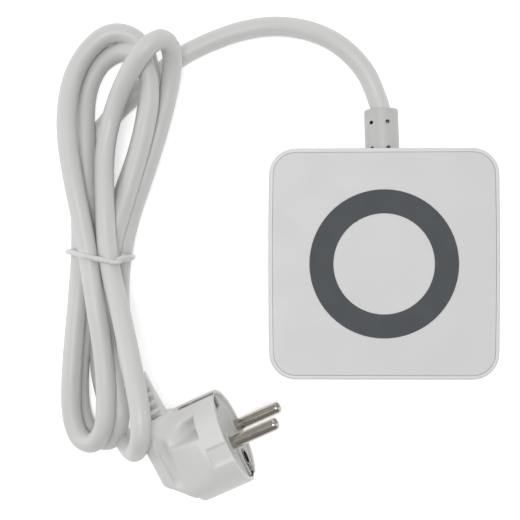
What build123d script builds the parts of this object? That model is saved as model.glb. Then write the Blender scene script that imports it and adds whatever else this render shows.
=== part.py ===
from build123d import *
import math
import os

# Wireless charging pad with a built-in mains supply, its boot, its coiled lead and an
# angled earthed plug. Millimetres. +Z is up, the origin is the centre of the pad's
# footprint on the surface it stands on, and the lead leaves through the +Y wall.

# ---- pad: driving dimensions ----
PAD_WIDTH = 86.0
PAD_HEIGHT = 30.0
CORNER_RADIUS = 10.0
SIDE_BULGE = 0.55            # how far the two long curved sides stand out at mid-length
FOOT_STAND = 1.0             # how far the feet hold the floor of the housing up
WALL = 2.4
FLOOR = 2.0
RIM_WIDTH = 1.5              # housing rim that shows round the top cover
COVER_GAP = 0.06
RING_PROUD = 0.2             # how far the grip ring stands above the cover
COVER_THICKNESS = 2.8
RING_OUTER_RADIUS = 27.65
RING_INNER_RADIUS = 18.75
RING_SEAT_DEPTH = 0.9
LIGHT_POSITION = (15.8, 27.9)
LIGHT_RADIUS = 0.5

FLOOR_LOW = FOOT_STAND
FLOOR_TOP = FLOOR_LOW + FLOOR
COVER_TOP = PAD_HEIGHT - RING_PROUD
COVER_LOW = COVER_TOP - COVER_THICKNESS
RING_SEAT = COVER_TOP - RING_SEAT_DEPTH

# ---- fasteners and feet ----
SCREW_SPREAD = 33.5          # the four housing screws stand at plus and minus this
PILLAR_RADIUS = 4.0
PILLAR_TOP = 8.0
SCREW_RADIUS = 1.25
SCREW_HEAD_RADIUS = 2.5
SCREW_HEAD_HEIGHT = 1.6
SCREW_TOP = 15.0
FOOT_RADIUS = 5.5
FOOT_POCKET = 0.8

# ---- boards ----
BOARD_POST_X = 28.0
BOARD_POST_Y = 19.0
POWER_BOARD_LOW = 7.0
POWER_BOARD_THICKNESS = 1.6
POWER_BOARD_TOP = POWER_BOARD_LOW + POWER_BOARD_THICKNESS
POWER_BOARD_SIZE = (48.0, 62.0)
POWER_BOARD_CENTRE_Y = -5.0
POWER_PEG_X = 20.5
POWER_PEG_Y = 28.0           # from the board's own centre
TX_BOARD_LOW = 18.0
TX_BOARD_THICKNESS = 1.2
TX_BOARD_TOP = TX_BOARD_LOW + TX_BOARD_THICKNESS
TX_BOARD_SIZE = (62.0, 58.0)

# ---- coil stack ----
CARRIER_SIZE = 54.0
CARRIER_LOW = 22.6
CARRIER_TOP = 26.4
CARRIER_FLOOR = 1.2
FERRITE_SIZE = 46.0
FERRITE_THICKNESS = 1.2
COIL_OUTER_RADIUS = 21.5
COIL_INNER_RADIUS = 10.5
COIL_THICKNESS = 2.2
COIL_POCKET_RADIUS = 26.0
COIL_POCKET_DEPTH = 1.0
STAKE_SPREAD = 25.0
STAKE_RADIUS = 1.2
FERRITE_LOW = CARRIER_LOW + CARRIER_FLOOR
COIL_LOW = FERRITE_LOW + FERRITE_THICKNESS

# ---- lead, boot and clamp ----
CORD_DIAMETER = 7.5
CORD_RADIUS = CORD_DIAMETER / 2
BOOT_X = 1.5
BOOT_Z = 11.0
BOOT_TILT = 2.0              # degrees, towards -X
BOOT_RADIUS = 6.6
BOOT_LENGTH = 16.7           # outside the wall
BOOT_NECK_RADIUS = 5.5
BOOT_FLANGE = 2.6
BOOT_GAP = 0.3               # between boot and wall, which the tilt needs
PIN_HOLE_RADIUS = 0.7        # moulding-pin holes in the boot
PIN_HOLE_DEPTH = 2.7
PIN_HOLE_SPACING = 6.2
PIN_HOLE_ROLL = -14.0        # degrees about the boot's axis
PIN_HOLE_ROWS = (5.4, 15.4)  # from the boot's free end
SHEATH_END_Y = 30.0
CLAMP_SPAN = (31.5, 36.0)
CLAMP_HALF_WIDTH = 8.0
CLAMP_TOP = BOOT_Z + 5.2
CLAMP_SCREW_X = 6.0
CORE_RADIUS = 1.1
CORE_OFFSET = 1.6
TERMINAL_Y = (21.0, 26.5)

# The lead's open stretch, from the boot round to the hank.
CORD_ROUTE = [
    (0.91, 59.99, 11.0),
    (-2.4, 70.3, 12.0),
    (-8.2, 79.0, 12.5),
    (-16.7, 86.8, 11.5),
    (-27.5, 92.2, 8.8),
    (-40.5, 94.9, 5.4),
    (-54.0, 93.4, 3.85),
    (-67.0, 88.8, 3.85),
    (-79.5, 82.6, 3.85),
]

# Outer shape of the hank in plan, and its height.
HANK_OUTLINE = [
    (-127.0, 55.0),
    (-123.5, 26.0),
    (-121.3, 4.5),
    (-123.3, -24.0),
    (-124.0, -52.0),
    (-119.0, -71.0),
    (-106.0, -75.0),
    (-94.5, -77.5),
    (-88.8, -68.0),
    (-91.5, -45.0),
    (-98.0, -17.0),
    (-96.8, 4.5),
    (-89.5, 34.0),
    (-80.0, 65.0),
    (-77.8, 82.0),
    (-86.0, 93.0),
    (-104.0, 95.3),
    (-119.5, 84.0),
]
HANK_HEIGHT = 26.0
HANK_CHAMFER = 2.0
TIE_SPAN = (1.7, 3.9)        # along Y
TIE_THICKNESS = 0.8
TIE_INSIDE_X = (-120.4, -97.4)

# ---- plug: its own axes are +X along the pins, +Z the pin line, +Y towards the lead ----
PLUG_FACE_CENTRE = (-56.0, -65.1)
PLUG_HEADING = 25.2          # degrees from +X, in plan
PLUG_RISE = 5.7              # degrees, pins pointing slightly up
PLUG_ROLL = 7.0              # degrees, the pin line leans towards -Y
PLUG_RADIUS = 18.65
PLUG_DRUM = 20.3
PLUG_DEPTH = 30.8
PLUG_BACK = [                # lower rear outline, from the drum to the rear face
    (-20.3, -13.5),
    (-23.0, -10.2),
    (-28.7, -6.0),
    (-30.8, -4.9),
]
PLUG_BAND = 8.8              # thickness of the drum in front of the finger scoops
SIDE_FRONT = 17.2            # half width between the side flats, at the band
SIDE_REAR = 12.5             # and at the rear face
SCOOP_LOW_Y = 8.5
SCOOP_CORNER = 6.0
GRIP_WEB = 9.0
GROOVE_LENGTH = 8.1
GROOVE_HALF_WIDTH = 3.3
GROOVE_DEPTH = 1.6
FACE_RADIUS = 17.4
FACE_THICKNESS = 2.0
PLUG_PIN_RADIUS = 2.4
PLUG_PIN_LENGTH = 19.0
PLUG_PIN_SPACING = 19.0
PLUG_PIN_TAIL = 9.0
EARTH_OFFSET = 10.0
EARTH_BORE_RADIUS = 2.5
EARTH_SLEEVE_RADIUS = 3.4
EARTH_DEPTH = 16.0
CLIP_WIDTH = 5.0
CLIP_THICKNESS = 0.8
CLIP_LENGTH = 15.5
RELIEF_X = -25.8
RELIEF_LOW_Y = 17.0
RELIEF_TIP_Y = 36.5
RELIEF_BASE_RADIUS = 6.3
RELIEF_TIP_RADIUS = 4.7
TAIL_INNER_Y = 6.0

PLUG_FACE_HEIGHT = (
    PLUG_RADIUS * math.cos(math.radians(PLUG_RISE))
    + PLUG_DRUM * math.sin(math.radians(PLUG_RISE))
    + 0.02
)


def corners(x, y):
    """The four points at plus and minus x and y."""
    return [(sx * x, sy * y) for sx in (-1, 1) for sy in (-1, 1)]


def block(x, y, z):
    """A box between low and high limits along each axis."""
    size = (x[1] - x[0], y[1] - y[0], z[1] - z[0])
    centre = ((x[0] + x[1]) / 2, (y[0] + y[1]) / 2, (z[0] + z[1]) / 2)
    return Pos(*centre) * Box(*size)


def post(x, y, low, high, radius):
    """An upright cylinder."""
    return Pos(x, y, (low + high) / 2) * Cylinder(radius, high - low)


def rod_y(x, z, low, high, radius):
    """A cylinder along Y."""
    return Pos(x, (low + high) / 2, z) * Rot(90, 0, 0) * Cylinder(radius, high - low)


def rod_x(y, z, low, high, radius):
    """A cylinder along X."""
    return Pos((low + high) / 2, y, z) * Rot(0, 90, 0) * Cylinder(radius, high - low)


def pad_outline(inset=0.0):
    """Plan of the pad: straight front and back, slightly bowed left and right sides."""
    half = PAD_WIDTH / 2 - inset
    side = half - SIDE_BULGE
    edges = [
        Line((-side, -half), (side, -half)),
        ThreePointArc((side, -half), (half, 0), (side, half)),
        Line((side, half), (-side, half)),
        ThreePointArc((-side, half), (-half, 0), (-side, -half)),
    ]
    face = make_face(Curve() + edges)
    return fillet(face.vertices(), CORNER_RADIUS - inset)


def slab(inset, low, high):
    """The pad's plan, inset and given a height."""
    return Pos(0, 0, low) * extrude(pad_outline(inset), high - low)


def pipe(points, radius, radii):
    """A round tube along straight runs joined by tangent arcs."""
    path = FilletPolyline(*points, radius=radii)
    section = Plane(origin=path @ 0, z_dir=path % 0) * Circle(radius)
    return path, sweep(section, path=path)


def route_radii(points):
    """The arc at each corner: 0.45 of the shorter run over the tangent of half the turn."""
    radii = []
    for before, here, after in zip(points, points[1:], points[2:]):
        run_in = Vector(*here) - Vector(*before)
        run_out = Vector(*after) - Vector(*here)
        turn = math.radians(run_in.get_angle(run_out))
        radii.append(0.45 * min(run_in.length, run_out.length) / math.tan(turn / 2))
    return radii


def boot_place(shape):
    """Turns a shape drawn along Y at the boot's centre line into the boot's tilt."""
    centre = Pos(BOOT_X, PAD_WIDTH / 2, BOOT_Z)
    return centre * Rot(0, 0, BOOT_TILT) * shape


# ---- housing ----
def base_housing():
    body = slab(0, FLOOR_LOW, COVER_TOP)
    body = chamfer(body.faces().sort_by(Axis.Z)[0].edges(), 1.5)
    body = fillet(body.faces().sort_by(Axis.Z)[-1].edges(), 0.7)
    body -= slab(WALL, FLOOR_TOP, COVER_LOW)
    body -= slab(RIM_WIDTH, COVER_LOW, PAD_HEIGHT)
    for x, y in corners(SCREW_SPREAD, SCREW_SPREAD):
        body += post(x, y, FLOOR_TOP, PILLAR_TOP, PILLAR_RADIUS)
        body -= post(x, y, FLOOR_LOW, FLOOR_LOW + FOOT_POCKET, FOOT_RADIUS)
        head_low = FLOOR_LOW + FOOT_POCKET
        body -= post(x, y, head_low, head_low + SCREW_HEAD_HEIGHT, SCREW_HEAD_RADIUS)
        body -= post(x, y, head_low, PILLAR_TOP, SCREW_RADIUS)
    for x, y in corners(BOARD_POST_X, BOARD_POST_Y):
        body += post(x, y, FLOOR_TOP, TX_BOARD_LOW, 2.5)
        body -= post(x, y, TX_BOARD_LOW - 6, TX_BOARD_LOW, 1.0)
    for x, y in corners(POWER_PEG_X, POWER_PEG_Y):
        body += post(x, y + POWER_BOARD_CENTRE_Y, FLOOR_TOP, POWER_BOARD_LOW, 2.2)
        body += post(x, y + POWER_BOARD_CENTRE_Y, POWER_BOARD_LOW, POWER_BOARD_TOP + 0.8, 1.2)
    saddle_x = (BOOT_X - CLAMP_HALF_WIDTH, BOOT_X + CLAMP_HALF_WIDTH)
    body += block(saddle_x, CLAMP_SPAN, (FLOOR_TOP, BOOT_Z - 0.2))
    body -= rod_y(BOOT_X, BOOT_Z, CLAMP_SPAN[0], CLAMP_SPAN[1], CORD_RADIUS + 0.1)
    for side in (-1, 1):
        body -= post(BOOT_X + side * CLAMP_SCREW_X, sum(CLAMP_SPAN) / 2, 5, BOOT_Z, 1.2)
    hole = rod_y(0, 0, -WALL - 1, 2, BOOT_NECK_RADIUS + BOOT_GAP)
    return body - boot_place(hole)


def top_cover():
    body = slab(RIM_WIDTH + COVER_GAP, COVER_LOW, COVER_TOP)
    body = fillet(body.faces().sort_by(Axis.Z)[-1].edges(), 0.25)
    body -= post(0, 0, COVER_LOW, COVER_LOW + COIL_POCKET_DEPTH, COIL_POCKET_RADIUS)
    seat = post(0, 0, RING_SEAT, COVER_TOP, RING_OUTER_RADIUS)
    body -= seat - post(0, 0, RING_SEAT, COVER_TOP, RING_INNER_RADIUS)
    for x, y in corners(SCREW_SPREAD, SCREW_SPREAD):
        body += post(x, y, PILLAR_TOP, COVER_LOW, 3.4)
        body -= post(x, y, PILLAR_TOP, SCREW_TOP + 1, SCREW_RADIUS)
    for x, y in corners(STAKE_SPREAD, STAKE_SPREAD):
        body += post(x, y, CARRIER_LOW - 0.8, COVER_LOW, STAKE_RADIUS)
    body -= post(*LIGHT_POSITION, COVER_LOW, COVER_TOP, LIGHT_RADIUS)
    return body


def grip_ring():
    outer = post(0, 0, RING_SEAT, PAD_HEIGHT, RING_OUTER_RADIUS)
    ring = outer - post(0, 0, RING_SEAT, PAD_HEIGHT, RING_INNER_RADIUS)
    return fillet(ring.faces().sort_by(Axis.Z)[-1].edges(), 0.15)


def status_light_window():
    return post(*LIGHT_POSITION, TX_BOARD_TOP + 0.8, COVER_TOP, LIGHT_RADIUS)


def rubber_feet():
    feet = []
    for x, y in corners(SCREW_SPREAD, SCREW_SPREAD):
        foot = post(x, y, 0, FLOOR_LOW + FOOT_POCKET, FOOT_RADIUS)
        feet.append(chamfer(foot.faces().sort_by(Axis.Z)[0].edges(), 0.4))
    return Compound(children=feet)


def screw(x, y, head_low, head_high, tip, head_radius, shank_radius):
    """A screw with a round head, pointing up or down from its head."""
    head = post(x, y, head_low, head_high, head_radius)
    shank_ends = (head_high, tip) if tip > head_high else (tip, head_low)
    return head + post(x, y, shank_ends[0], shank_ends[1], shank_radius)


def housing_screws():
    low = FLOOR_LOW + FOOT_POCKET
    high = low + SCREW_HEAD_HEIGHT
    places = corners(SCREW_SPREAD, SCREW_SPREAD)
    return Compound(
        children=[screw(x, y, low, high, SCREW_TOP, SCREW_HEAD_RADIUS, SCREW_RADIUS) for x, y in places]
    )


# ---- coil stack ----
def coil_carrier():
    half = CARRIER_SIZE / 2
    seat = FERRITE_SIZE / 2 + 0.1
    body = block((-half, half), (-half, half), (CARRIER_LOW, CARRIER_TOP))
    body -= block((-seat, seat), (-seat, seat), (FERRITE_LOW, CARRIER_TOP))
    body -= block((-half, -seat), (-3, 3), (FERRITE_LOW + 1, CARRIER_TOP))
    for x, y in corners(STAKE_SPREAD, STAKE_SPREAD):
        body -= post(x, y, CARRIER_LOW, CARRIER_TOP, STAKE_RADIUS + 0.05)
    return body


def ferrite_plate():
    half = FERRITE_SIZE / 2
    return block((-half, half), (-half, half), (FERRITE_LOW, COIL_LOW))


def transmitter_coil():
    ring = post(0, 0, COIL_LOW, COIL_LOW + COIL_THICKNESS, COIL_OUTER_RADIUS)
    return ring - post(0, 0, COIL_LOW, COIL_LOW + COIL_THICKNESS, COIL_INNER_RADIUS)


def coil_leads():
    leads = []
    lead_z = COIL_LOW + COIL_THICKNESS / 2
    drop_x = -(CARRIER_SIZE / 2 + 1.5)
    for y in (-1.5, 1.5):
        start = (-COIL_OUTER_RADIUS - 0.05, y, lead_z)
        points = [start, (drop_x, y, lead_z), (drop_x, y, TX_BOARD_TOP)]
        leads.append(pipe(points, 0.7, [1.2])[1])
    return Compound(children=leads)


def temperature_sensor():
    return post(0, 0, COIL_LOW, COIL_LOW + 1.6, 1.3)


# ---- transmitter board and what stands on it ----
def transmitter_board():
    half_x, half_y = (size / 2 for size in TX_BOARD_SIZE)
    board = block((-half_x, half_x), (-half_y, half_y), (TX_BOARD_LOW, TX_BOARD_TOP))
    for x, y in corners(BOARD_POST_X, BOARD_POST_Y):
        board -= post(x, y, TX_BOARD_LOW, TX_BOARD_TOP, 1.1)
    return board


def board_screws():
    low = TX_BOARD_TOP
    places = corners(BOARD_POST_X, BOARD_POST_Y)
    return Compound(children=[screw(x, y, low, low + 1.2, TX_BOARD_LOW - 5, 1.9, 1.0) for x, y in places])


def on_transmitter_board(x, y, size):
    """A component of the given size standing on the transmitter board."""
    return Pos(x, y, TX_BOARD_TOP + size[2] / 2) * Box(*size)


def controller_chip():
    return on_transmitter_board(-8, 0, (7, 7, 0.9))


def driver_transistors():
    places = [(4, -6), (12, -6), (4, 6), (12, 6)]
    return Compound(children=[on_transmitter_board(x, y, (5, 6, 1.1)) for x, y in places])


def resonance_capacitors():
    places = [(-12, -18), (-4, -18), (4, -18), (12, -18)]
    return Compound(children=[on_transmitter_board(x, y, (5.7, 5, 2.5)) for x, y in places])


def power_inductor():
    return on_transmitter_board(-20, 12, (7, 7, 3))


def status_led():
    return on_transmitter_board(*LIGHT_POSITION, (1.6, 1.2, 0.8))


# ---- mains supply board and what stands on it ----
def power_supply_board():
    half_x, half_y = (size / 2 for size in POWER_BOARD_SIZE)
    y_span = (POWER_BOARD_CENTRE_Y - half_y, POWER_BOARD_CENTRE_Y + half_y)
    board = block((-half_x, half_x), y_span, (POWER_BOARD_LOW, POWER_BOARD_TOP))
    for x, y in corners(POWER_PEG_X, POWER_PEG_Y):
        board -= post(x, y + POWER_BOARD_CENTRE_Y, POWER_BOARD_LOW, POWER_BOARD_TOP, 1.25)
    return board


def on_power_board(x, y, size):
    """A component of the given size standing on the power board."""
    return Pos(x, y, POWER_BOARD_TOP + size[2] / 2) * Box(*size)


def mains_terminal():
    span = (POWER_BOARD_TOP, POWER_BOARD_TOP + 7)
    return block((BOOT_X - 5, BOOT_X + 5), TERMINAL_Y, span)


def mains_fuse():
    return post(-12, 17, POWER_BOARD_TOP, POWER_BOARD_TOP + 8, 4.2)


def interference_capacitor():
    return on_power_board(3, 15, (13, 6, 8))


def interference_choke():
    ring = post(17, 13, POWER_BOARD_TOP, POWER_BOARD_TOP + 7, 5.5)
    return ring - post(17, 13, POWER_BOARD_TOP, POWER_BOARD_TOP + 7, 2)


def bridge_rectifier():
    return on_power_board(-14, 7, (8, 6, 3))


def reservoir_capacitors():
    z = POWER_BOARD_TOP + 4
    return Compound(children=[rod_y(x, z, -15, 1, 4) for x in (-18.5, -9.5)])


def switching_controller():
    return on_power_board(0, 6.5, (5, 4, 1.5))


def transformer_core():
    core = on_power_board(9, -7, (18, 16, 8.4))
    window_z = (POWER_BOARD_TOP + 2, POWER_BOARD_TOP + 6.4)
    for x in ((2.5, 6.5), (11.5, 15.5)):
        core -= block(x, (-15, 1), window_z)
    return core


def transformer_winding():
    window_z = (POWER_BOARD_TOP + 2, POWER_BOARD_TOP + 6.4)
    sides = [block(x, (-17, 3), window_z) for x in ((2.5, 6.5), (11.5, 15.5))]
    bridge_front = block((6.5, 11.5), (-17, -15), window_z)
    bridge_back = block((6.5, 11.5), (1, 3), window_z)
    return sides[0] + sides[1] + bridge_front + bridge_back


def optocoupler():
    return on_power_board(-3, -20, (4.5, 6.5, 3))


def output_capacitors():
    top = POWER_BOARD_TOP + 8
    return Compound(children=[post(x, -27, POWER_BOARD_TOP, top, 3.15) for x in (-14, -6.5)])


def board_connector():
    return block((5, 17), (-26, -23.2), (POWER_BOARD_TOP, TX_BOARD_LOW))


def insulation_sheet():
    sheet = block((-25, 25), (-28, 24), (17.2, 17.6))
    return sheet - block((4.8, 17.2), (-26.2, -23), (17.2, 17.6))


# ---- lead where it enters the pad ----
def cord_boot():
    outside = rod_y(0, 0, BOOT_GAP, BOOT_LENGTH + BOOT_GAP, BOOT_RADIUS)
    outside = fillet(outside.faces().sort_by(Axis.Y)[-1].edges(), 0.6)
    neck = rod_y(0, 0, -WALL - BOOT_GAP, BOOT_GAP, BOOT_NECK_RADIUS)
    flange = rod_y(0, 0, -WALL - BOOT_GAP - BOOT_FLANGE, -WALL - BOOT_GAP, BOOT_RADIUS)
    boot = outside + neck + flange
    boot -= rod_y(0, 0, -WALL - BOOT_GAP - BOOT_FLANGE, BOOT_LENGTH + BOOT_GAP, CORD_RADIUS)
    free_end = BOOT_LENGTH + BOOT_GAP
    for row in PIN_HOLE_ROWS:
        for x in (-PIN_HOLE_SPACING / 2, PIN_HOLE_SPACING / 2):
            surface = math.sqrt(BOOT_RADIUS**2 - x**2)
            for side in (-1, 1):
                hole = post(x, free_end - row, surface - PIN_HOLE_DEPTH, BOOT_RADIUS, PIN_HOLE_RADIUS)
                turn = PIN_HOLE_ROLL + (180 if side < 0 else 0)
                boot -= Rot(0, turn, 0) * hole
    return boot_place(boot)


def cord_entry():
    """The lead's sheath inside the boot and under the clamp."""
    flange_back = -WALL - BOOT_GAP - BOOT_FLANGE
    tilted = boot_place(rod_y(0, 0, flange_back - 1, BOOT_LENGTH + BOOT_GAP, CORD_RADIUS))
    straight_end = PAD_WIDTH / 2 + flange_back - 0.5
    straight = rod_y(BOOT_X, BOOT_Z, SHEATH_END_Y, straight_end, CORD_RADIUS)
    return straight + tilted


def core_wire(number):
    angle = math.radians(90 + 120 * number)
    x = BOOT_X + CORE_OFFSET * math.cos(angle)
    z = BOOT_Z + CORE_OFFSET * math.sin(angle)
    return rod_y(x, z, TERMINAL_Y[1], SHEATH_END_Y, CORE_RADIUS)


def cord_clamp():
    x_span = (BOOT_X - CLAMP_HALF_WIDTH, BOOT_X + CLAMP_HALF_WIDTH)
    body = block(x_span, CLAMP_SPAN, (BOOT_Z + 0.2, CLAMP_TOP))
    body -= rod_y(BOOT_X, BOOT_Z, CLAMP_SPAN[0], CLAMP_SPAN[1], CORD_RADIUS + 0.1)
    for side in (-1, 1):
        body -= post(BOOT_X + side * CLAMP_SCREW_X, sum(CLAMP_SPAN) / 2, BOOT_Z, CLAMP_TOP, 1.3)
    return body


def clamp_screws():
    y = sum(CLAMP_SPAN) / 2
    screws = []
    for side in (-1, 1):
        x = BOOT_X + side * CLAMP_SCREW_X
        screws.append(screw(x, y, CLAMP_TOP, CLAMP_TOP + 1.4, 6, 1.9, 1.15))
    return Compound(children=screws)


# ---- plug, drawn in its own axes and then laid down ----
def plug_place(shape):
    heading = Rot(0, 0, PLUG_HEADING)
    rise = Rot(0, -PLUG_RISE, 0)
    roll = Rot(PLUG_ROLL, 0, 0)
    return Pos(*PLUG_FACE_CENTRE, PLUG_FACE_HEIGHT) * heading * rise * roll * shape


def plug_envelope():
    """The plug's outer shape: a drum whose rear narrows between two side flats."""
    outline = [(0, -PLUG_RADIUS), (0, PLUG_RADIUS), (-PLUG_DEPTH, PLUG_RADIUS)]
    outline += PLUG_BACK[::-1] + [(-PLUG_DRUM, -PLUG_RADIUS)]
    plan = make_face(Polyline(*outline, close=True))
    prism = Pos(0, 0, -PLUG_RADIUS) * extrude(plan, 2 * PLUG_RADIUS)
    shape = prism & rod_x(0, 0, -PLUG_DEPTH, 0, PLUG_RADIUS)
    for side in (-1, 1):
        flat = [
            (-PLUG_BAND, side * SIDE_FRONT),
            (-PLUG_DEPTH - 1, side * SIDE_REAR),
            (-PLUG_DEPTH - 1, side * 30),
            (-PLUG_BAND, side * 30),
        ]
        cut = make_face(Plane.XZ * Polyline(*flat, close=True))
        shape -= extrude(cut, 30, both=True)
    return shape


def finger_scoop(side):
    """What the hand's grip takes out beside the collar: a pocket with a round inner corner."""
    turn = SCOOP_LOW_Y + SCOOP_CORNER
    depth = GRIP_WEB + SCOOP_CORNER
    middle = (turn - SCOOP_CORNER * math.sqrt(0.5), depth - SCOOP_CORNER * math.sqrt(0.5))
    edges = [
        Line((30, 30), (SCOOP_LOW_Y, 30)),
        Line((SCOOP_LOW_Y, 30), (SCOOP_LOW_Y, depth)),
        ThreePointArc((SCOOP_LOW_Y, depth), middle, (turn, GRIP_WEB)),
        Line((turn, GRIP_WEB), (30, GRIP_WEB)),
        Line((30, GRIP_WEB), (30, 30)),
    ]
    section = make_face(Plane.YZ * (Curve() + edges))
    pocket = Pos(-PLUG_DEPTH - 5, 0, 0) * extrude(section, PLUG_DEPTH + 5 - PLUG_BAND)
    return pocket if side > 0 else mirror(pocket, Plane.XY)


def plug_pin(side):
    z = side * PLUG_PIN_SPACING / 2
    pin = rod_x(0, z, -PLUG_PIN_TAIL, PLUG_PIN_LENGTH, PLUG_PIN_RADIUS)
    return fillet(pin.faces().sort_by(Axis.X)[-1].edges(), 1.9)


def earth_sleeve():
    sleeve = rod_x(-EARTH_OFFSET, 0, -EARTH_DEPTH, 0, EARTH_SLEEVE_RADIUS)
    return sleeve - rod_x(-EARTH_OFFSET, 0, -EARTH_DEPTH + 1, 0, EARTH_BORE_RADIUS)


def earth_clip(side):
    outer = side * (PLUG_RADIUS - 0.9)
    inner = side * (PLUG_RADIUS - 0.9 - CLIP_THICKNESS)
    y_span = (min(outer, inner), max(outer, inner))
    return block((-CLIP_LENGTH, -0.4), y_span, (-CLIP_WIDTH / 2, CLIP_WIDTH / 2))


def relief_cone(extra=0.0):
    cone = Cone(RELIEF_BASE_RADIUS + extra, RELIEF_TIP_RADIUS + extra, RELIEF_TIP_Y - RELIEF_LOW_Y)
    middle = (RELIEF_TIP_Y + RELIEF_LOW_Y) / 2
    return Pos(RELIEF_X, middle, 0) * Rot(-90, 0, 0) * cone


def plug_cord_tail():
    return rod_y(RELIEF_X, 0, TAIL_INNER_Y, RELIEF_TIP_Y, CORD_RADIUS)


def plug_core_wires():
    """Live and neutral cores, from the sheath's end to the backs of the pins."""
    wires = []
    for side in (-1, 1):
        z = side * PLUG_PIN_SPACING / 2
        points = [
            (RELIEF_X, TAIL_INNER_Y, side * 1.5),
            (RELIEF_X, 0, side * 1.5),
            (-PLUG_PIN_TAIL - 8, 0, side * 5),
            (-PLUG_PIN_TAIL - 3, 0, z),
            (-PLUG_PIN_TAIL, 0, z),
        ]
        wires.append(pipe(points, 0.9, [2.5, 1.5, 1.2])[1])
    return Compound(children=wires)


def plug_face_disc():
    disc = rod_x(0, 0, -FACE_THICKNESS, 0, FACE_RADIUS)
    for side in (-1, 1):
        disc -= rod_x(0, side * PLUG_PIN_SPACING / 2, -FACE_THICKNESS, 0, PLUG_PIN_RADIUS)
        disc -= earth_clip(side)
    return disc - rod_x(-EARTH_OFFSET, 0, -FACE_THICKNESS, 0, EARTH_SLEEVE_RADIUS)


def plug_body():
    body = plug_envelope()
    for side in (-1, 1):
        body -= finger_scoop(side)
        slot_x = (-GROOVE_LENGTH, 1)
        slot_z = sorted((side * (PLUG_RADIUS - GROOVE_DEPTH), side * (PLUG_RADIUS + 1)))
        body -= block(slot_x, (-GROOVE_HALF_WIDTH, GROOVE_HALF_WIDTH), slot_z)
        body -= plug_pin(side)
        recess_y = sorted((side * (PLUG_RADIUS - 0.9 - CLIP_THICKNESS), side * (PLUG_RADIUS + 1)))
        body -= block((-CLIP_LENGTH, 1), recess_y, (-CLIP_WIDTH / 2, CLIP_WIDTH / 2))
    body -= rod_x(0, 0, -FACE_THICKNESS, 1, FACE_RADIUS)
    body -= rod_x(-EARTH_OFFSET, 0, -EARTH_DEPTH, 0, EARTH_SLEEVE_RADIUS)
    body -= relief_cone()
    body -= plug_cord_tail()
    for wire in plug_core_wires().children:
        body -= wire
    return body


# ---- lead ----
def cord_hank():
    outline = make_face(Spline(*HANK_OUTLINE, periodic=True))
    hank = extrude(outline, HANK_HEIGHT)
    hank = chamfer(hank.faces().sort_by(Axis.Z)[-1].edges(), HANK_CHAMFER)
    return hank - plug_place(plug_envelope()) - plug_place(relief_cone(0.05))


def tie_band(hank):
    """A band round the hank's waist, let into it so that the two fit face to face."""
    slab_x = (-140.0, -70.0)
    band = hank & block(slab_x, TIE_SPAN, (0, HANK_HEIGHT))
    inside_z = (TIE_THICKNESS, HANK_HEIGHT - TIE_THICKNESS)
    core = block(TIE_INSIDE_X, (TIE_SPAN[0] - 1, TIE_SPAN[1] + 1), inside_z)
    upper_edges = core.faces().sort_by(Axis.Z)[-1].edges().filter_by(Axis.Y)
    return band - chamfer(upper_edges, HANK_CHAMFER)


def save(name, shape):
    export_step(shape, f"parts/{name}.step")


def main():
    os.makedirs("parts", exist_ok=True)
    radii = route_radii(CORD_ROUTE)
    print("cord radii", [round(radius, 1) for radius in radii])
    path, tube = pipe(CORD_ROUTE, CORD_RADIUS, radii)
    hank = cord_hank()
    tie = tie_band(hank)
    boot = cord_boot()
    entry = cord_entry()
    expected = math.pi * CORD_RADIUS**2 * path.length
    print("cord tube length", round(path.length, 1))
    print("cord tube volume", round(tube.volume), "expected", round(expected))

    pieces = {
        "base_housing": base_housing(),
        "top_cover": top_cover(),
        "grip_ring": grip_ring(),
        "status_light_window": status_light_window(),
        "rubber_feet": rubber_feet(),
        "housing_screws": housing_screws(),
        "coil_carrier": coil_carrier(),
        "ferrite_plate": ferrite_plate(),
        "transmitter_coil": transmitter_coil(),
        "coil_leads": coil_leads(),
        "temperature_sensor": temperature_sensor(),
        "transmitter_board": transmitter_board(),
        "board_screws": board_screws(),
        "controller_chip": controller_chip(),
        "driver_transistors": driver_transistors(),
        "resonance_capacitors": resonance_capacitors(),
        "power_inductor": power_inductor(),
        "status_led": status_led(),
        "power_supply_board": power_supply_board(),
        "mains_terminal": mains_terminal(),
        "mains_fuse": mains_fuse(),
        "interference_capacitor": interference_capacitor(),
        "interference_choke": interference_choke(),
        "bridge_rectifier": bridge_rectifier(),
        "reservoir_capacitors": reservoir_capacitors(),
        "switching_controller": switching_controller(),
        "transformer_core": transformer_core(),
        "transformer_winding": transformer_winding(),
        "optocoupler": optocoupler(),
        "output_capacitors": output_capacitors(),
        "board_connector": board_connector(),
        "insulation_sheet": insulation_sheet(),
        "cord_boot": boot,
        "cord_entry": entry,
        "live_wire": core_wire(0),
        "neutral_wire": core_wire(1),
        "earth_wire": core_wire(2),
        "cord_clamp": cord_clamp(),
        "clamp_screws": clamp_screws(),
        "cord_tube": tube - hank - boot - entry,
        "cord_hank": hank - tie,
        "twist_tie": tie,
        "plug_strain_relief": plug_place(relief_cone() - plug_cord_tail()),
        "plug_cord_tail": plug_place(plug_cord_tail()),
        "plug_core_wires": plug_place(plug_core_wires()),
        "plug_body": plug_place(plug_body()),
        "plug_face": plug_place(plug_face_disc()),
        "plug_live_pin": plug_place(plug_pin(1)),
        "plug_neutral_pin": plug_place(plug_pin(-1)),
        "plug_earth_sleeve": plug_place(earth_sleeve()),
        "plug_earth_clips": plug_place(Compound(children=[earth_clip(1), earth_clip(-1)])),
    }
    for name, shape in pieces.items():
        save(name, shape)


main()
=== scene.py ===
import math

import bpy
import numpy as np
from mathutils import Matrix, Vector


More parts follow.
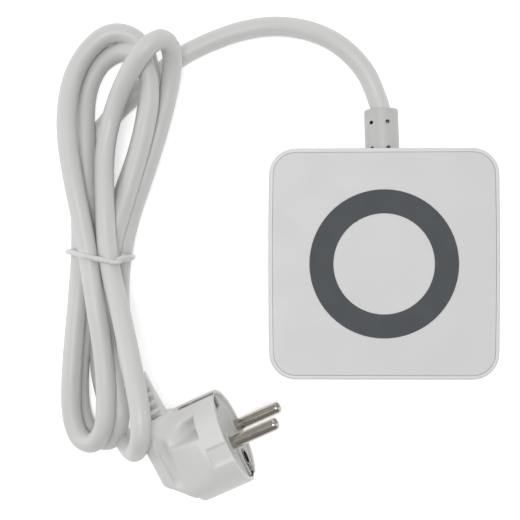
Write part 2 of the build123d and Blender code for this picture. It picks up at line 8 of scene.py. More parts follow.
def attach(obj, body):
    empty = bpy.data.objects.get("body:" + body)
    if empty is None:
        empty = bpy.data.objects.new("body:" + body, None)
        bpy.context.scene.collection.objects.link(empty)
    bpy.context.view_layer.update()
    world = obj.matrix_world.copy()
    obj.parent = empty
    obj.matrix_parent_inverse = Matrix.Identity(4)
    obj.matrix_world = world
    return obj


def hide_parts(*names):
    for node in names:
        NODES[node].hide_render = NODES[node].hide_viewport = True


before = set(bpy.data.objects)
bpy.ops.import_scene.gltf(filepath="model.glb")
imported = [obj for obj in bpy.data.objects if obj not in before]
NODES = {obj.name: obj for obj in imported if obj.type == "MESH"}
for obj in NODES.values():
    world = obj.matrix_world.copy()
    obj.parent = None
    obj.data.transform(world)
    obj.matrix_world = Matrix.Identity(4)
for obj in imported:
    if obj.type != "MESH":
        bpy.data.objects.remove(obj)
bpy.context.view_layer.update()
MM = 0.001

# ---------------------------------------------------------------- sizes, in millimetres
CORD_DIAMETER = 7.5
SHEATH_RADIUS = 0.513 * CORD_DIAMETER  # a little fuller than the declared thickness

# From the boot round to the hank, as the part's own route has it, and on under the hank.
CORD_ROUTE = [
    (0.91, 59.99, 11.0),
    (-2.4, 70.3, 12.0),
    (-8.2, 79.0, 12.5),
    (-16.7, 86.8, 11.5),
    (-27.5, 92.2, 8.8),
    (-40.5, 94.9, 5.4),
    (-54.0, 93.4, 3.85),
    (-67.0, 88.8, 3.85),
    (-79.5, 82.6, 3.85),
    (-92.0, 72.0, 3.85),
    (-106.0, 59.5, 3.85),
    (-115.5, 47.5, 3.85),
]

# The hank, run by run. Each list goes from one fold to the next.
HANK_RUNS = [
    # down the outer left, and its fold
    [
        (-120.0, 33.0, 3.9),
        (-118.0, 10.0, 5.5),
        (-118.7, -12.0, 9.2),
        (-120.6, -36.0, 11.1),
        (-121.4, -52.0, 11.3),
        (-120.7, -62.0, 11.3),
        (-117.3, -69.3, 12.7),
        (-110.8, -70.2, 16.7),
        (-106.0, -63.5, 20.8),
    ],
    # up on top, and its wide loop
    [
        (-105.0, -52.0, 21.5),
        (-106.3, -34.0, 21.0),
        (-110.1, -12.0, 20.2),
        (-113.1, 8.0, 19.0),
        (-118.3, 32.0, 19.2),
        (-121.5, 52.0, 18.5),
        (-120.5, 69.2, 16.0),
        (-115.1, 82.0, 14.6),
        (-105.6, 90.7, 14.2),
        (-95.4, 89.2, 13.8),
        (-90.0, 81.7, 10.6),
    ],
    # down at the bottom of the pile, and its fold
    [
        (-90.0, 66.0, 10.5),
        (-94.5, 47.0, 5.5),
        (-102.5, 26.0, 4.2),
        (-109.9, 6.0, 4.6),
        (-113.9, -9.0, 3.9),
        (-118.3, -29.0, 3.85),
        (-119.8, -47.0, 3.85),
        (-118.9, -60.5, 3.85),
        (-113.8, -69.6, 6.0),
        (-105.0, -70.2, 12.0),
        (-100.7, -62.5, 17.0),
    ],
    # up in the middle, and its loop
    [
        (-100.8, -52.0, 16.8),
        (-104.2, -35.0, 15.4),
        (-109.4, -14.0, 13.0),
        (-112.6, 6.0, 11.4),
        (-114.6, 28.0, 11.2),
        (-115.7, 50.0, 10.4),
        (-115.5, 67.4, 9.4),
        (-110.3, 79.3, 9.4),
        (-100.2, 84.4, 11.4),
        (-90.9, 79.8, 18.2),
    ],
    # down, and its fold over the plug's relief
    [
        (-88.3, 67.0, 17.3),
        (-91.5, 50.0, 15.2),
        (-98.5, 28.0, 12.6),
        (-104.8, 9.0, 11.4),
        (-107.3, -7.0, 5.4),
        (-110.3, -23.0, 3.85),
        (-111.8, -39.0, 3.85),
        (-109.4, -53.0, 3.9),
        (-103.7, -66.5, 4.6),
        (-95.0, -72.5, 23.0),
        (-89.8, -66.9, 37.6),
        (-88.9, -57.4, 38.4),
    ],
    # up on top, and its loop
    [
        (-91.3, -45.7, 35.8),
        (-94.5, -32.7, 32.3),
        (-99.9, -16.0, 23.0),
        (-105.3, 3.0, 18.9),
        (-106.5, 24.0, 17.8),
        (-107.2, 44.0, 14.8),
        (-103.5, 59.5, 15.6),
        (-96.5, 72.5, 22.5),
        (-89.0, 81.6, 27.0),
        (-83.0, 86.0, 24.8),
        (-79.9, 83.0, 17.0),
    ],
    # down, and up into the plug's relief
    [
        (-81.0, 73.5, 12.0),
        (-85.2, 57.0, 9.0),
        (-91.4, 38.0, 7.3),
        (-98.5, 19.0, 5.8),
        (-102.1, 3.0, 4.8),
        (-102.7, -9.0, 6.8),
        (-101.3, -19.5, 12.6),
        (-98.4, -28.0, 18.6),
        (-96.9, -34.8, 22.4),
        (-95.0, -43.0, 22.5),
        (-93.3, -47.0, 22.0),
    ],
]

# The tie goes round the hank's waist and its ends are twisted together on the right.
TIE_LOOP = [
    (-123.2, 4.8, 6.0),
    (-121.4, 4.8, 12.5),
    (-117.8, 4.2, 19.4),
    (-113.0, 3.1, 23.8),
    (-108.8, 2.1, 23.6),
    (-104.4, 1.2, 23.6),
    (-101.2, 0.9, 22.4),
    (-98.9, 1.9, 19.6),
    (-97.4, 2.6, 12.5),
    (-97.6, 2.6, 5.0),
    (-100.4, 2.6, 1.2),
    (-106.0, 2.8, 1.05),
    (-112.0, 3.4, 1.05),
    (-119.6, 4.4, 1.5),
]
TIE_MIDDLE = Vector((-109.5, 5.0, 11.5))
TIE_END_A = [
    (-103.4, 0.9, 24.0),
    (-101.2, 0.6, 24.4),
    (-99.6, 1.0, 24.0),
    (-98.9, 2.2, 22.8),
    (-98.4, 3.2, 21.4),
]
TIE_END_B = [
    (-100.6, 1.4, 22.8),
    (-99.4, 2.0, 23.6),
    (-98.0, 2.4, 22.6),
    (-96.6, 2.7, 20.4),
    (-95.6, 2.4, 18.2),
]
TIE_STEPS = 14  # points on the tie's path between two of the given ones
END_OUTWARD = Vector((0.3, 0.1, 1.0))

PLUG_FACE_CENTRE = (-56.0, -65.1)
PLUG_HEADING = 25.2
PLUG_RISE = 5.7
PLUG_ROLL = 7.0
PLUG_RADIUS = 18.65
PLUG_DRUM = 20.3
PLUG_DEPTH = 30.8
PLUG_BAND = 8.8
SCOOP_DEPTH = 7.3
SCOOP_FADE = 8.5
RELIEF_X = -25.8
RELIEF_LOW = 16.0
RELIEF_TIP = 36.5
RELIEF_RADIUS = 6.35
RELIEF_NARROWING = 1.65
RELIEF_SLOTS = 5
FIRST_SLOT = 20.3
SLOT_PITCH = 3.3
COLLAR_RADIUS = 6.5
COLLAR_TOP = 18.2
GRIP_TAPER = 0.268
WELL_RADIUS = 17.0
FACE_RADIUS = 17.15
EARTH_HOLE_RADIUS = 3.3
EARTH_HOLE_DROP = 10.0
PIN_RADIUS = 2.4
PIN_SPACING = 19.0
PAD_WIDTH = 86.0
BOOT_X = 1.5
BOOT_Z = 11.0
BOOT_TILT = 2.0
BOOT_LENGTH = 17.0
BOOT_RADIUS = 6.6
BOOT_BORE = 3.72
BOOT_ROLL = -14.0
MOULD_HOLE_RADIUS = 0.72
MOULD_HOLE_ROWS = (5.4, 15.4)
MOULD_HOLE_OFFSET = 3.1


# ---------------------------------------------------------------- solids from distance fields
def smooth_max(a, b, k):
    """The larger of two fields, with the edge between them rounded over about k."""
    h = np.clip(0.5 + 0.5 * (a - b) / k, 0.0, 1.0)
    return b * (1 - h) + a * h + k * h * (1 - h)


def smooth_min(a, b, k):
    return -smooth_max(-a, -b, k)


def step(low, high, value):
    """0 below low, 1 above high, and a smooth ramp between."""
    t = np.clip((value - low) / (high - low), 0.0, 1.0)
    return t * t * (3 - 2 * t)


def slot_field(along, across, half_length, half_width):
    """Distance from the outline of a slot with round ends."""
    beyond = np.maximum(np.abs(along) - (half_length - half_width), 0.0)
    return np.hypot(beyond, across) - half_width


def surface_net(field, low, cell):
    """Vertices and quads of the surface where a sampled field is zero."""
    inside = field < 0
    cells = tuple(n - 1 for n in field.shape)
    total = np.zeros((*cells, 3))
    count = np.zeros(cells)
    quads = []
    number = np.full(cells, -1, dtype=np.int64)
    crossings = []
    for axis in range(3):
        near = [slice(None)] * 3
        far = [slice(None)] * 3
        near[axis] = slice(None, -1)
        far[axis] = slice(1, None)
        a = field[tuple(near)]
        b = field[tuple(far)]
        where = np.argwhere(inside[tuple(near)] != inside[tuple(far)])
        fa = a[tuple(where.T)]
        fb = b[tuple(where.T)]
        point = where.astype(float)
        point[:, axis] += fa / (fa - fb)
        crossings.append((axis, where, fa < 0))
        side_a, side_b = [i for i in range(3) if i != axis]
        for da in (0, -1):
            for db in (0, -1):
                cell_index = where.copy()
                cell_index[:, side_a] += da
                cell_index[:, side_b] += db
                good = (cell_index >= 0).all(1) & (cell_index < cells).all(1)
                place = tuple(cell_index[good].T)
                np.add.at(total, place, point[good])
                np.add.at(count, place, 1)
    used = np.argwhere(count > 0)
    number[tuple(used.T)] = np.arange(len(used))
    vertices = total[tuple(used.T)] / count[tuple(used.T)][:, None] * cell + np.array(low)
    for axis, where, leaving in crossings:
        side_a, side_b = [(axis + 1) % 3, (axis + 2) % 3]
        corners = []
        for da, db in ((0, 0), (-1, 0), (-1, -1), (0, -1)):
            cell_index = where.copy()
            cell_index[:, side_a] += da
            cell_index[:, side_b] += db
            corners.append(number[tuple(cell_index.T)])
        quad = np.stack(corners, 1)
        if (quad < 0).any():
            raise ValueError("the surface reaches the edge of its sampled box")
        quad[~leaving] = quad[~leaving][:, ::-1]
        quads.append(quad)
    return vertices, np.concatenate(quads)


def solid(name, shape, low, high, cell, placing):
    """A mesh object of a field given in its own axes, put in place by a matrix in millimetres."""
    axes = [np.arange(a - 2 * cell, b + 3 * cell, cell) for a, b in zip(low, high)]
    x, y, z = np.meshgrid(*axes, indexing="ij")
    field = shape(x, y, z)
    vertices, quads = surface_net(field, [axis[0] for axis in axes], cell)
    turned = vertices @ np.array(placing.to_3x3()).T + np.array(placing.translation)
    return mesh_object(name, turned * MM, quads)


def mesh_object(name, vertices, faces, smooth=True):
    data = bpy.data.meshes.new(name)
    data.from_pydata([tuple(v) for v in vertices], [], [tuple(int(i) for i in f) for f in faces])
    data.polygons.foreach_set("use_smooth", [smooth] * len(data.polygons))
    data.update()
    obj = bpy.data.objects.new(name, data)
    bpy.context.scene.collection.objects.link(obj)
    return obj


def turn(axis, degrees):
    return Matrix.Rotation(math.radians(degrees), 4, axis)


RISE = math.radians(PLUG_RISE)
PLUG_FACE_HEIGHT = PLUG_RADIUS * math.cos(RISE) + PLUG_DRUM * math.sin(RISE) + 0.02
PLUG_PLACE = (
    Matrix.Translation((*PLUG_FACE_CENTRE, PLUG_FACE_HEIGHT))
    @ turn("Z", PLUG_HEADING)
    @ turn("Y", -PLUG_RISE)
    @ turn("X", PLUG_ROLL)
)
BOOT_PLACE = Matrix.Translation((BOOT_X, PAD_WIDTH / 2, BOOT_Z)) @ turn("Z", BOOT_TILT)


# ---------------------------------------------------------------- plug
def plug_shape(x, y, z):
    """The moulded body: a drum, a grip that narrows to the rear, and a scoop for a finger on
    each side of the collar."""
    side = np.abs(z)
    drum = np.hypot(y, z) - PLUG_RADIUS
    body = smooth_max(drum, x, 0.9)
    reach = np.clip((x + PLUG_DEPTH) / (PLUG_DEPTH - PLUG_DRUM), 0.0, 1.0)
    low_edge = (-4.9 - 8.6 * reach**1.3 - y) * 0.78
    grip = smooth_max(low_edge, -PLUG_DEPTH - x, 1.8)
    rear = np.minimum(-PLUG_DRUM - x, grip)
    body = smooth_max(body, rear, 1.0)

    # side flats, which close in towards the rear, with a shallow valley before the rear rib
    valley = step(-20.6, -23.6, x) * step(-25.95, -25.55, x) * step(-7.0, -3.0, y)
    valley = valley * (1.1 + 0.4 * step(2.0, 9.0, y))
    width = PLUG_RADIUS - 0.25 + (x + PLUG_BAND) * GRIP_TAPER - valley
    flats = (side - width) * 0.965
    behind = step(-PLUG_BAND + 1.0, -PLUG_BAND - 3.0, x)
    body = np.where(x < -PLUG_BAND + 1.0, smooth_max(body, flats - (1 - behind) * 3.0, 2.2), body)

    # collar that the bend relief grows out of
    collar = np.maximum(np.hypot(x - RELIEF_X, z) - COLLAR_RADIUS, np.maximum(y - COLLAR_TOP, 8.0 - y))
    body = smooth_min(body, collar, 2.6)

    # finger scoops: dents that sink from the top edge down to a low wall, deepest at the band
    behind_band = np.maximum(-PLUG_BAND - x, 0.0)
    sink = step(16.8, 9.7, y) * step(8.3, 9.7, y) * step(2.5, 6.5, side)
    sink = sink * np.exp(-((behind_band / SCOOP_FADE) ** 2))
    dished = np.maximum(body + SCOOP_DEPTH * sink, x + PLUG_BAND - 1.5)
    body = np.minimum(np.maximum(body, -PLUG_BAND - x), dished)

    # guide grooves at the two sides, open to the face
    groove = np.maximum(np.maximum(-3.0 - y, y - 3.8), np.maximum(-8.1 - x, 17.7 - side))
    body = smooth_max(body, -groove, 0.5)

    # shallow channels for the earth clips, top and bottom, and the slots that they enter by
    channel = np.maximum(np.maximum(side - 2.9, 17.75 - np.abs(y)), -16.6 - x)
    body = smooth_max(body, -channel, 0.3)
    mouth = np.maximum(np.maximum(side - 3.3, np.abs(np.abs(y) - 14.6) - 2.5), -8.0 - x)
    body = smooth_max(body, -mouth, 0.25)

    # well behind the face plate
    well = np.maximum(np.hypot(y, z) - WELL_RADIUS, -2.2 - x)
    return smooth_max(body, -well, 0.3)


def relief_axis(y):
    """How far the relief's centre line stands along the plug's X at each height."""
    t = np.clip((y - 17.0) / (RELIEF_TIP - 17.0), 0.0, 1.1)
    return RELIEF_X + 0.9 * t**2


def relief_radius(y):
    """The relief's radius, which narrows towards its tip."""
    t = np.clip((y - RELIEF_LOW) / (RELIEF_TIP - RELIEF_LOW), 0.0, 1.0)
    return RELIEF_RADIUS - RELIEF_NARROWING * t


def relief_shape(x, y, z):
    """The bend relief: a tapered sleeve with slots across it on two faces."""
    off = x - relief_axis(y)
    body = np.hypot(off, z) - relief_radius(y)
    flare = 0.5 * np.exp(-np.maximum(y - 17.5, 0.0) / 1.3)
    body = body - flare
    body = smooth_max(body, y - RELIEF_TIP, 0.8)
    body = smooth_max(body, RELIEF_LOW - y, 0.3)
    for number in range(RELIEF_SLOTS):
        centre = FIRST_SLOT + SLOT_PITCH * number
        length = relief_radius(centre) * 0.97
        slot = slot_field(off - 0.5, y - centre, length, 0.9 - 0.05 * number)
        slot = np.maximum(slot, 2.8 - 0.15 * number - np.abs(z))
        body = smooth_max(body, -slot, 0.25)
    bore = np.maximum(np.hypot(off, z) - 3.7, 29.5 - y)
    return np.maximum(body, -bore)


def face_shape(x, y, z):
    """The face plate, set back inside the rim, with its pin collars and earth hole."""
    from_centre = np.hypot(y, z)
    plate = np.maximum(from_centre - FACE_RADIUS, np.maximum(x + 0.9, -2.0 - x))
    ridge = np.maximum(np.abs(z) - 5.0, np.abs(y + 9.6) - 6.4)
    ridge = np.maximum(ridge, np.maximum(x + 0.2, -2.0 - x))
    plate = smooth_min(plate, ridge, 0.25)
    for side in (-1, 1):
        away = np.hypot(y, z - side * PIN_SPACING / 2)
        collar = np.maximum(away - 4.1, np.maximum(x + 0.1, -2.0 - x))
        plate = smooth_min(plate, collar, 0.4)
        plate = np.maximum(plate, PIN_RADIUS - away)
        clip = np.maximum(np.abs(z) - 3.3, 12.1 - side * y)
        plate = np.maximum(plate, -clip)
    outline = np.abs(np.maximum(np.abs(z) - 5.4, np.abs(y + 9.6) - 6.8)) - 0.35
    plate = np.maximum(plate, -np.maximum(outline, -1.7 - x))
    hole = np.hypot(y + EARTH_HOLE_DROP, z) - EARTH_HOLE_RADIUS
    return smooth_max(plate, -hole, 0.35)


def boot_shape(x, y, z):
    """The boot, in its own axes: Y runs out along the lead from the wall."""
    away = np.hypot(x, z)
    body = smooth_max(away - BOOT_RADIUS, y - BOOT_LENGTH, 0.6)
    body = smooth_max(body, 0.3 - y, 0.2)
    neck = np.maximum(away - 5.5, np.maximum(y - 1.0, -5.3 - y))
    flange = np.maximum(away - 6.5, np.maximum(y + 2.7, -5.3 - y))
    body = np.minimum(body, np.minimum(neck, flange))
    body = np.maximum(body, BOOT_BORE - away)
    roll = math.radians(BOOT_ROLL)
    across = x * math.cos(roll) - z * math.sin(roll)
    up = x * math.sin(roll) + z * math.cos(roll)
    for row in MOULD_HOLE_ROWS:
        for side in (-MOULD_HOLE_OFFSET, MOULD_HOLE_OFFSET):
            hole = np.hypot(across - side, y - (BOOT_LENGTH - row)) - MOULD_HOLE_RADIUS
            hole = np.maximum(hole, 1.5 - np.abs(up))
            body = smooth_max(body, -hole, 0.12)
    return body


# ---------------------------------------------------------------- lead
def cord_curve():
    """The lead as one smooth round curve from the boot to the plug's relief."""
    data = bpy.data.curves.new("lead_cord", "CURVE")
    data.dimensions = "3D"
    spline = data.splines.new("NURBS")
    route = list(CORD_ROUTE)
    for run in HANK_RUNS:
        route += run
    spline.points.add(len(route) - 1)
    for point, place in zip(spline.points, route):
        point.co = (*(value * MM for value in place), 1.0)
    spline.order_u = 3
    spline.use_endpoint_u = True
    spline.resolution_u = 12
    data.bevel_depth = SHEATH_RADIUS * MM
    data.bevel_resolution = 8
    data.use_fill_caps = True
    cord = bpy.data.objects.new("lead_cord", data)
    bpy.context.scene.collection.objects.link(cord)
    return cord


# ---------------------------------------------------------------- twist tie
def smooth_path(points, closed):
    """Points along a smooth curve through the given ones."""
    points = [Vector(p) for p in points]
    count = len(points)
    spans = count if closed else count - 1
    path = []
    for i in range(spans):
        if closed:
            around = [points[(i + k) % count] for k in (-1, 0, 1, 2)]
        else:
            around = [points[min(max(i + k, 0), count - 1)] for k in (-1, 0, 1, 2)]
        before, here, there, after = around
        for number in range(TIE_STEPS):
            t = number / TIE_STEPS
            place = (
                here * 2
                + (there - before) * t
                + (before * 2 - here * 5 + there * 4 - after) * t * t
                + (here * 3 - before - there * 3 + after) * t**3
            ) * 0.5
            path.append(place)
    if not closed:
        path.append(points[-1])
    return path


def away_from_middle(place):
    return place - TIE_MIDDLE


def upward(place):
    return END_OUTWARD


def ribbon(name, points, closed, width, thickness, outward, turns=0.0):
    """A coated wire tie: a flat ribbon with a wire's ridge along its middle."""
    path = smooth_path(points, closed)
    section = []
    half = width / 2
    outline = 20
    for k in range(outline):
        angle = 2 * math.pi * k / outline
        u = half * math.cos(angle)
        ridge = 0.28 * math.exp(-((u / (0.22 * width)) ** 2))
        v = math.copysign(abs(math.sin(angle)) ** 0.6, math.sin(angle)) * thickness / 2
        section.append((u, v + math.copysign(ridge, v) if abs(math.sin(angle)) > 0.2 else v))
    vertices = []
    total = len(path)
    for i, place in enumerate(path):
        ahead = path[(i + 1) % total] if closed else path[min(i + 1, total - 1)]
        back = path[i - 1] if closed or i else path[0]
        along = (ahead - back).normalized()
        out = outward(place)
        out = (out - along * out.dot(along)).normalized()
        spin = Matrix.Rotation(turns * 2 * math.pi * i / total, 3, along)
        out = spin @ out
        edge = along.cross(out)
        for u, v in section:
            vertices.append((place + edge * u + out * v) * MM)
    faces = []
    for i in range(total if closed else total - 1):
        j = (i + 1) % total
        for k in range(outline):
            m = (k + 1) % outline
            faces.append((i * outline + k, i * outline + m, j * outline + m, j * outline + k))
    if not closed:
        faces.append(tuple(range(outline))[::-1])
        faces.append(tuple((total - 1) * outline + k for k in range(outline)))
    return mesh_object(name, vertices, faces)


# ---------------------------------------------------------------- materials
def new_material(name, colour, roughness, metallic=0.0, coat=0.0):
    """A material with its constant values on the shader, and its node tree to build on."""
    material = bpy.data.materials.new(name)
    material.use_nodes = True
    shader = material.node_tree.nodes["Principled BSDF"]
    shader.inputs["Base Color"].default_value = (*colour, 1.0)
    shader.inputs["Roughness"].default_value = roughness
    shader.inputs["Metallic"].default_value = metallic
    shader.inputs["Coat Weight"].default_value = coat
    shader.inputs["Coat Roughness"].default_value = 0.2
    return material


FINE_DETAIL = 2.0


def add_noise(tree, scale, detail):
    """A noise texture in the object's own coordinates, in metres."""
    where = tree.nodes.new("ShaderNodeTexCoord")
    noise = tree.nodes.new("ShaderNodeTexNoise")
    noise.inputs["Scale"].default_value = scale
    noise.inputs["Detail"].default_value = detail
    tree.links.new(where.outputs["Object"], noise.inputs["Vector"])
    return noise


def tint(material, dark, light, scale, detail=3.0):
    """Varies the colour a little between two tones."""
    tree = material.node_tree
    noise = add_noise(tree, scale, detail)
    ramp = tree.nodes.new("ShaderNodeValToRGB")
    ramp.color_ramp.elements[0].position = 0.3
    ramp.color_ramp.elements[0].color = (*dark, 1.0)
    ramp.color_ramp.elements[1].position = 0.7
    ramp.color_ramp.elements[1].color = (*light, 1.0)
    tree.links.new(noise.outputs["Fac"], ramp.inputs["Fac"])
    tree.links.new(ramp.outputs["Color"], tree.nodes["Principled BSDF"].inputs["Base Color"])
    return material


def roughen(material, low, high, scale):
    """Varies the roughness between two values."""
    tree = material.node_tree
    noise = add_noise(tree, scale, FINE_DETAIL)
    spread = tree.nodes.new("ShaderNodeMapRange")
    spread.inputs["From Min"].default_value = 0.3
    spread.inputs["From Max"].default_value = 0.7
    spread.inputs["To Min"].default_value = low
    spread.inputs["To Max"].default_value = high
    tree.links.new(noise.outputs["Fac"], spread.inputs["Value"])
    tree.links.new(spread.outputs["Result"], tree.nodes["Principled BSDF"].inputs["Roughness"])
    return material


def grain(material, scale, strength, depth):
    """A fine surface texture, as bump."""
    tree = material.node_tree
    noise = add_noise(tree, scale, FINE_DETAIL)
    bump = tree.nodes.new("ShaderNodeBump")
    bump.inputs["Strength"].default_value = strength
    bump.inputs["Distance"].default_value = depth
    tree.links.new(noise.outputs["Fac"], bump.inputs["Height"])
    tree.links.new(bump.outputs["Normal"], tree.nodes["Principled BSDF"].inputs["Normal"])
    return material


def shade(colour, factor):
    return tuple(value * factor for value in colour)


def moulded(name, colour, roughness=0.45, spread=0.02, grain_scale=2500.0, bump=0.15):
    """Moulded plastic: hardly varied colour, satin roughness and a spark-eroded grain."""
    material = new_material(name, colour, roughness)
    tint(material, shade(colour, 1 - spread), shade(colour, 1 + spread), 25.0)
    roughen(material, roughness - 0.05, roughness + 0.06, 60.0)
    grain(material, grain_scale, bump, 0.00005)
    return material


def make_materials():
    made = {}
    made["pad"] = moulded("pad_plastic", (0.605, 0.605, 0.603), 0.5, 0.012)
    made["housing"] = moulded("housing_plastic", (0.655, 0.655, 0.650), 0.48, 0.012)
    made["boot"] = moulded("boot_plastic", (0.470, 0.470, 0.463), 0.45, 0.02, 1800.0)
    made["plug"] = moulded("plug_plastic", (0.640, 0.636, 0.625), 0.38, 0.012, 1600.0)
    made["face"] = moulded("plug_face_plastic", (0.47, 0.47, 0.46), 0.5, 0.05, 900.0, 0.4)
    made["cord"] = moulded("cord_sheath", (0.575, 0.575, 0.566), 0.42, 0.01, 700.0, 0.08)
    made["tie"] = moulded("tie_coating", (0.60, 0.60, 0.595), 0.4, 0.02, 1500.0)

    ring = new_material("ring_rubber", (0.064, 0.070, 0.077), 0.75)
    tint(ring, (0.059, 0.065, 0.072), (0.067, 0.073, 0.081), 140.0, 4.0)
    made["ring"] = grain(ring, 5000.0, 0.3, 0.00004)

    foot = new_material("foot_rubber", (0.05, 0.05, 0.052), 0.75)
    tint(foot, (0.045, 0.045, 0.047), (0.06, 0.06, 0.062), 200.0)
    made["foot"] = grain(foot, 3000.0, 0.3, 0.00005)

    pin = new_material("pin_nickel", (0.50, 0.465, 0.41), 0.13, 1.0)
    tint(pin, (0.45, 0.415, 0.36), (0.55, 0.515, 0.46), 160.0, 4.0)
    made["pin"] = roughen(pin, 0.09, 0.18, 300.0)

    # partly painted shade: the earth sleeve is metal, but its tone is darkened to near black to stand
    # in for the shadow down the earth hole; the earth clips share this dark metal
    sleeve = new_material("earth_metal_darkened_as_hole_shade", (0.12, 0.10, 0.08), 0.3, 1.0)
    tint(sleeve, (0.09, 0.075, 0.06), (0.15, 0.13, 0.10), 300.0)
    made["sleeve"] = roughen(sleeve, 0.25, 0.4, 400.0)

    steel = new_material("screw_steel", (0.55, 0.55, 0.56), 0.35, 1.0)
    tint(steel, (0.5, 0.5, 0.51), (0.6, 0.6, 0.61), 400.0)
    made["steel"] = roughen(steel, 0.28, 0.42, 500.0)

    copper = new_material("copper_wire", (0.72, 0.33, 0.16), 0.35, 1.0)
    tint(copper, (0.62, 0.27, 0.12), (0.78, 0.38, 0.2), 500.0)
    made["copper"] = roughen(copper, 0.25, 0.45, 600.0)

    # painted shade: a near-black material for the boot's hole walls, standing in for the shadow inside
    # the holes
    made["shade"] = moulded("painted_shade_bore", (0.03, 0.03, 0.028), 0.7, 0.1)
    made["ferrite"] = moulded("ferrite_ceramic", (0.035, 0.035, 0.038), 0.6, 0.15, 900.0, 0.3)
    made["board"] = moulded("circuit_board", (0.03, 0.16, 0.07), 0.35, 0.12, 800.0, 0.2)
    made["chip"] = moulded("chip_epoxy", (0.025, 0.025, 0.027), 0.55, 0.1, 2500.0, 0.3)
    made["inner"] = moulded("inner_plastic", (0.42, 0.41, 0.37), 0.5, 0.04)
    made["capacitor"] = moulded("capacitor_sleeve", (0.03, 0.05, 0.13), 0.3, 0.1)
    made["film"] = moulded("insulation_film", (0.62, 0.50, 0.20), 0.25, 0.05, 400.0)
    made["live"] = moulded("live_insulation", (0.20, 0.08, 0.035), 0.4, 0.06)
    made["neutral"] = moulded("neutral_insulation", (0.03, 0.12, 0.42), 0.4, 0.06)
    made["earth"] = moulded("earth_insulation", (0.28, 0.45, 0.06), 0.4, 0.06)
    window = new_material("light_window", (0.54, 0.54, 0.54), 0.25, coat=0.2)
    made["window"] = tint(window, (0.52, 0.52, 0.52), (0.56, 0.56, 0.56), 900.0)
    return made


NODE_MATERIALS = {
    "pad": ["top_cover"],
    "housing": ["base_housing"],
    "ring": ["grip_ring"],
    "window": ["status_light_window", "status_led"],
    "foot": ["rubber_feet"],
    "steel": ["housing_screws", "board_screws", "clamp_screws"],
    "inner": ["coil_carrier", "cord_clamp", "mains_terminal", "board_connector"],
    "ferrite": ["ferrite_plate", "transformer_core", "interference_choke"],
    "copper": ["transmitter_coil", "coil_leads", "transformer_winding"],
    "board": ["transmitter_board", "power_supply_board"],
    "chip": [
        "temperature_sensor",
        "controller_chip",
        "driver_transistors",
        "power_inductor",
        "mains_fuse",
        "bridge_rectifier",
        "switching_controller",
        "optocoupler",
    ],
    "capacitor": [
        "resonance_capacitors",
        "interference_capacitor",
        "reservoir_capacitors",
        "output_capacitors",
    ],
    "film": ["insulation_sheet"],
    "boot": ["cord_boot"],
    "cord": ["cord_entry", "cord_tube", "cord_hank", "plug_cord_tail"],
    "live": ["live_wire", "plug_core_wires"],
    "neutral": ["neutral_wire"],
    "earth": ["earth_wire"],
    "tie": ["twist_tie"],
    "plug": ["plug_strain_relief", "plug_body"],
    "face": ["plug_face"],
    "pin": ["plug_live_pin", "plug_neutral_pin"],
    "sleeve": ["plug_earth_sleeve", "plug_earth_clips"],
}


def paint(obj, material):
    obj.data.materials.clear()
    obj.data.materials.append(material)


# ---------------------------------------------------------------- build
materials = make_materials()


def put_in(obj, look, slot, *nodes):
    """Dresses a piece, fixes it to the one body and hides the nodes that it stands in for."""
    paint(obj, materials[look])
    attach(obj, "root")
    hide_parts(*nodes)


for look, names in NODE_MATERIALS.items():
    for name in names:
        paint(NODES[name], materials[look])

cord = cord_curve()
put_in(cord, "cord", "lead", "cord_tube", "cord_hank", "plug_cord_tail")

plug = solid("plug_moulding", plug_shape, (-33.5, -19, -19), (0.5, 19, 19), 0.42, PLUG_PLACE)
put_in(plug, "plug", "plug", "plug_body")

relief = solid("plug_relief", relief_shape, (-33.5, 15.5, -7.5), (-18, 37, 7.5), 0.22, PLUG_PLACE)
put_in(relief, "plug", "plug", "plug_strain_relief")

face = solid("plug_face_plate", face_shape, (-2.2, -17.5, -17.5), (0.3, 17.5, 17.5), 0.3, PLUG_PLACE)
put_in(face, "face", "plug", "plug_face")

boot = solid("lead_boot", boot_shape, (-6.8, -5.5, -6.8), (6.8, 18.2, 6.8), 0.2, BOOT_PLACE)
put_in(boot, "boot", "housing", "cord_boot")
boot.data.materials.append(materials["shade"])
# painted shade: the walls of the boot's holes get a near-black material that stands in for the shadow
# inside them
for polygon in boot.data.polygons:
    along = BOOT_PLACE.inverted() @ (Vector(polygon.center) / MM)
    if math.hypot(along.x, along.z) < 5.7 and 0.6 < along.y < BOOT_LENGTH - 0.8:
        polygon.material_index = 1


tie = ribbon("tie_band", TIE_LOOP, True, 2.2, 1.6, away_from_middle)
put_in(tie, "tie", "tie", "twist_tie")

for number, points in enumerate((TIE_END_A, TIE_END_B)):
    end = ribbon(f"tie_end_{number + 1}", points, False, 1.9, 1.3, upward, 1.0)
    put_in(end, "tie", "tie", "twist_tie")

plug_pieces = [plug, relief, face]
plug_pieces += [NODES[name] for name in NODE_MATERIALS["pin"] + NODE_MATERIALS["sleeve"]]
plug_pieces += [NODES["plug_core_wires"]]


# ---------------------------------------------------------------- stage, in metres
CAMERA_PLACE = (-0.037737, 0.003227, 0.364404)
CAMERA_ANGLES = (-0.297, 1.416, -0.076)
CAMERA_LENS = 62.31
CAMERA_SENSOR = 36.0
FLOOR_HALF = 3.0
FLOOR_GLOW = 0.45
MIDDLE = (-0.04, 0.0, 0.01)


def soft_light(name, place, aim, size, energy):
    data = bpy.data.lights.new(name, "AREA")
    data.shape = "DISK"
    data.size = size
    data.energy = energy
    light = bpy.data.objects.new(name, data)
    light.location = place
    light.rotation_euler = (Vector(aim) - Vector(place)).to_track_quat("-Z", "Y").to_euler()
    bpy.context.scene.collection.objects.link(light)


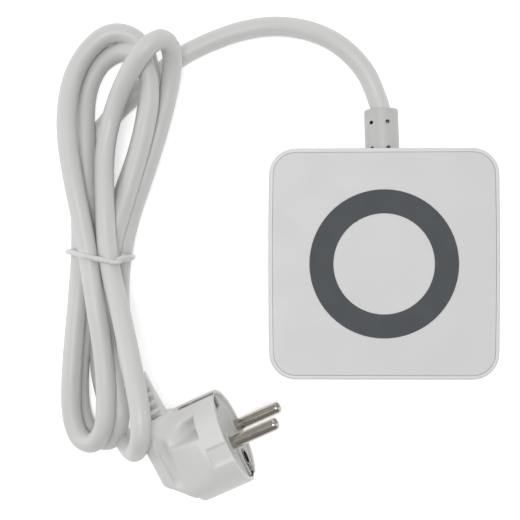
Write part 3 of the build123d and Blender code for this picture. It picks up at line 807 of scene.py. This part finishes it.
def make_world():
    """Even light from all round, but dimmer from the front of the studio."""
    world = bpy.data.worlds.new("studio")
    world.use_nodes = True
    tree = world.node_tree
    tree.nodes["Background"].inputs["Color"].default_value = (1.0, 1.0, 1.0, 1.0)
    where = tree.nodes.new("ShaderNodeTexCoord")
    parts = tree.nodes.new("ShaderNodeSeparateXYZ")
    spread = tree.nodes.new("ShaderNodeMapRange")
    spread.inputs["From Min"].default_value = -0.35
    spread.inputs["From Max"].default_value = 0.0
    spread.inputs["To Min"].default_value = 0.3
    spread.inputs["To Max"].default_value = 0.49
    tree.links.new(where.outputs["Generated"], parts.inputs["Vector"])
    tree.links.new(parts.outputs["Y"], spread.inputs["Value"])
    tree.links.new(spread.outputs["Result"], tree.nodes["Background"].inputs["Strength"])
    bpy.context.scene.world = world


def make_floor():
    half = FLOOR_HALF
    data = bpy.data.meshes.new("floor")
    corners = [(-half, -half, 0), (half, -half, 0), (half, half, 0), (-half, half, 0)]
    data.from_pydata(corners, [], [(0, 1, 2, 3)])
    floor = bpy.data.objects.new("floor", data)
    bpy.context.scene.collection.objects.link(floor)
    paper = new_material("floor_paper", (0.8, 0.8, 0.8), 0.9)
    shader = paper.node_tree.nodes["Principled BSDF"]
    shader.inputs["Emission Color"].default_value = (1.0, 1.0, 1.0, 1.0)
    shader.inputs["Emission Strength"].default_value = FLOOR_GLOW
    paint(floor, paper)


def make_camera():
    data = bpy.data.cameras.new("camera")
    data.lens = CAMERA_LENS
    data.sensor_width = CAMERA_SENSOR
    data.clip_start = 0.01
    camera = bpy.data.objects.new("camera", data)
    camera.location = CAMERA_PLACE
    camera.rotation_euler = tuple(math.radians(angle) for angle in CAMERA_ANGLES)
    bpy.context.scene.collection.objects.link(camera)
    bpy.context.scene.camera = camera


make_floor()
make_camera()
make_world()
bpy.context.scene.view_settings.view_transform = "Standard"
soft_light("softbox_top", (-0.06, 0.0, 1.1), MIDDLE, 0.5, 5.05)
soft_light("softbox_back", (-0.05, 0.75, 0.4), MIDDLE, 0.6, 0.8)
soft_light("softbox_left", (-0.75, 0.05, 0.32), MIDDLE, 0.6, 1.5)
soft_light("softbox_right", (0.7, 0.0, 0.32), MIDDLE, 0.6, 0.8)
